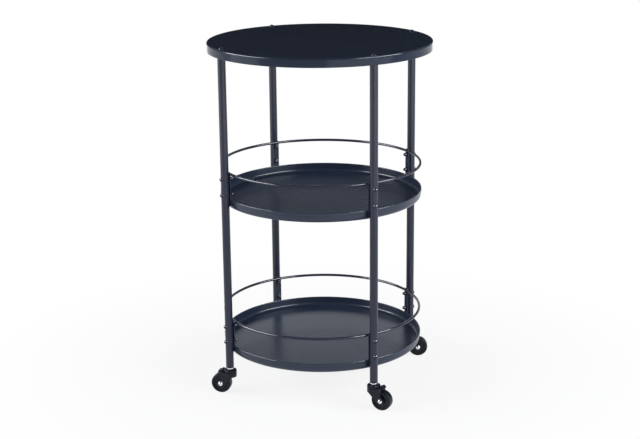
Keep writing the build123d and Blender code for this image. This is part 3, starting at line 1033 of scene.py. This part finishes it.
round_top()
top_cap_screws()
for tier in TIERS:
    tray_pan(tier)
    guard_rail(tier)
    leg_screws(tier)
    leg_nuts(tier)
    for leg in LEGS:
        strap(tier, leg)
for leg in LEGS:
    leg_tube(leg)
    foot_insert(leg)
    stem_collar(leg)
    bearing_cap(leg)
    yoke(leg)
    axle_pin(leg)
    wheel_core(leg)
    tread_ring(leg)
for leg in BRAKED:
    foot_pedal(leg)

for row in frame["record"]["subparts"]:
    coated = frame["nodes"][row["node"]].data
    coated.materials.clear()
    coated.materials.append(FINISHES[row["material_slot"]])


# Floor, light and camera

FLOOR_RADIUS = 25.0
FLOOR_STEPS = 96
FLOOR_COLOUR = colour(0.90, 0.90, 0.90)
FLOOR_SHADE_SHARE = 0.14
FLOOR_SHADE_REACH = (0.30, 0.80)


def pale_floor():
    """Wide pale floor that keeps a light shadow round the cart."""
    paint = Finish("pale_floor")
    glow_share = 1.0 - FLOOR_SHADE_SHARE * (1.0 - paint.ramp(paint.reach(), *FLOOR_SHADE_REACH))
    path = paint.tree.nodes.new("ShaderNodeLightPath")
    kinds = ("Camera", "Glossy", "Transmission")
    rays = [Value(paint, path.outputs[f"Is {kind} Ray"]) for kind in kinds]
    seen = rays[0].math("MAXIMUM", rays[0], rays[1])
    seen = seen.math("MAXIMUM", seen, rays[2])
    matt = paint.node("ShaderNodeBsdfDiffuse", inputs={"Color": FLOOR_COLOUR})
    glow = paint.node("ShaderNodeEmission", inputs={"Color": colour(1.0, 1.0, 1.0), "Strength": 1.0})
    both = paint.node("ShaderNodeMixShader", inputs={0: seen * glow_share, 1: matt, 2: glow})
    paint.node("ShaderNodeOutputMaterial", inputs={"Surface": both})
    form = bmesh.new()
    bmesh.ops.create_circle(form, cap_ends=True, radius=FLOOR_RADIUS, segments=FLOOR_STEPS)
    mesh = bpy.data.meshes.new("pale_floor")
    form.to_mesh(mesh)
    form.free()
    mesh.materials.append(paint.material)
    floor = bpy.data.objects.new("pale_floor", mesh)
    bpy.context.scene.collection.objects.link(floor)


# Brightness of the backdrop by the sine of the height above the horizon
BACKDROP_STOPS = [
    (0.000, colour(0.008, 0.008, 0.010)),
    (0.200, colour(0.010, 0.010, 0.012)),
    (0.240, colour(0.135, 0.138, 0.145)),
    (0.265, colour(0.135, 0.138, 0.145)),
    (0.290, colour(0.070, 0.072, 0.076)),
    (0.400, colour(0.150, 0.153, 0.160)),
    (1.000, colour(0.250, 0.255, 0.265)),
]
ROOM_COLOUR = colour(0.070, 0.072, 0.076)
BACKDROP_EDGE = (0.20, 0.70)
SWEEP_COLOUR = colour(1.0, 1.0, 1.0)
SWEEP_EDGE = (0.012, 0.022)


def studio_sky():
    """Lit backdrop behind the cart in a dim room, with a white sweep along the horizon."""
    world = bpy.data.worlds.new("studio_sky")
    bpy.context.scene.world = world
    world.use_nodes = True
    sky = Nodes(world.node_tree)
    sky.tree.nodes.clear()
    direction = sky.node("ShaderNodeTexCoord", output="Generated")
    rise = sky.node("ShaderNodeSeparateXYZ", inputs={"Vector": direction}, output="Z")
    tone = sky.node("ShaderNodeValToRGB", {"stops": BACKDROP_STOPS}, {"Fac": rise})
    behind = (-math.sin(CAMERA_TURN), math.cos(CAMERA_TURN), 0.0)
    facing = sky.node(
        "ShaderNodeVectorMath", {"operation": "DOT_PRODUCT"}, {0: direction, 1: behind}, output="Value"
    )
    tone = sky.mix(sky.ramp(facing, *BACKDROP_EDGE), ROOM_COLOUR, tone)
    tone = sky.mix(sky.ramp(rise, *SWEEP_EDGE), SWEEP_COLOUR, tone)
    light = sky.node("ShaderNodeBackground", inputs={"Color": tone, "Strength": 1.0})
    sky.node("ShaderNodeOutputWorld", inputs={"Surface": light})


CAMERA_TURN = math.radians(16.98)
CAMERA_DISTANCE = 2.6829
CAMERA_HEIGHT = 1.0807
CAMERA_PITCH = math.radians(15.946)
CAMERA_YAW = math.radians(-0.057)
CAMERA_ROLL = math.radians(-0.570)
CAMERA_LENS = 81.95
CAMERA_REACH = 100.0

# Lamps, by their turn round from the camera, rise, distance, width, height and power
LAMP_COLOUR = (0.93, 0.96, 1.0)
LAMPS = {
    "softbox_left": (math.radians(-82.0), math.radians(26.0), 3.0, 2.6, 1.0, 76.0),
    "softbox_right": (math.radians(62.0), math.radians(26.0), 3.0, 2.6, 1.0, 82.0),
    "low_panel_left": (math.radians(-78.0), math.radians(-5.0), 2.0, 1.3, 0.6, 4.2),
    "low_panel_right": (math.radians(40.0), math.radians(-5.0), 2.0, 2.6, 0.6, 8.3),
    "back_strip": (math.radians(180.0), math.radians(4.6), 1.0, 1.2, 0.22, 0.73),
}


def lamp(name, turn, rise, distance, width, height, power):
    """Wide soft lamp that looks at the middle of the cart."""
    data = bpy.data.lights.new(name, "AREA")
    data.shape = "RECTANGLE"
    data.size = width
    data.size_y = height
    data.energy = power
    data.color = LAMP_COLOUR
    thing = bpy.data.objects.new(name, data)
    bpy.context.scene.collection.objects.link(thing)
    thing.visible_camera = False
    thing.matrix_world = (
        Matrix.Translation((0.0, 0.0, TOP_HEIGHT / 2))
        @ Matrix.Rotation(CAMERA_TURN + turn, 4, "Z")
        @ Matrix.Rotation(math.pi / 2 - rise, 4, "X")
        @ Matrix.Translation((0.0, 0.0, distance))
    )


def photo_camera():
    """Camera at the viewing angle of the photograph."""
    data = bpy.data.cameras.new("photo_camera")
    data.lens = CAMERA_LENS
    data.clip_end = CAMERA_REACH
    camera = bpy.data.objects.new("photo_camera", data)
    bpy.context.scene.collection.objects.link(camera)
    camera.matrix_world = (
        Matrix.Rotation(CAMERA_TURN, 4, "Z")
        @ Matrix.Translation((0.0, -CAMERA_DISTANCE, CAMERA_HEIGHT))
        @ Matrix.Rotation(-CAMERA_YAW, 4, "Z")
        @ Matrix.Rotation(math.pi / 2 - CAMERA_PITCH, 4, "X")
        @ Matrix.Rotation(CAMERA_ROLL, 4, "Z")
    )
    bpy.context.scene.camera = camera


pale_floor()
studio_sky()
for name, setting in LAMPS.items():
    lamp(name, *setting)
photo_camera()
bpy.context.scene.view_settings.view_transform = "Standard"
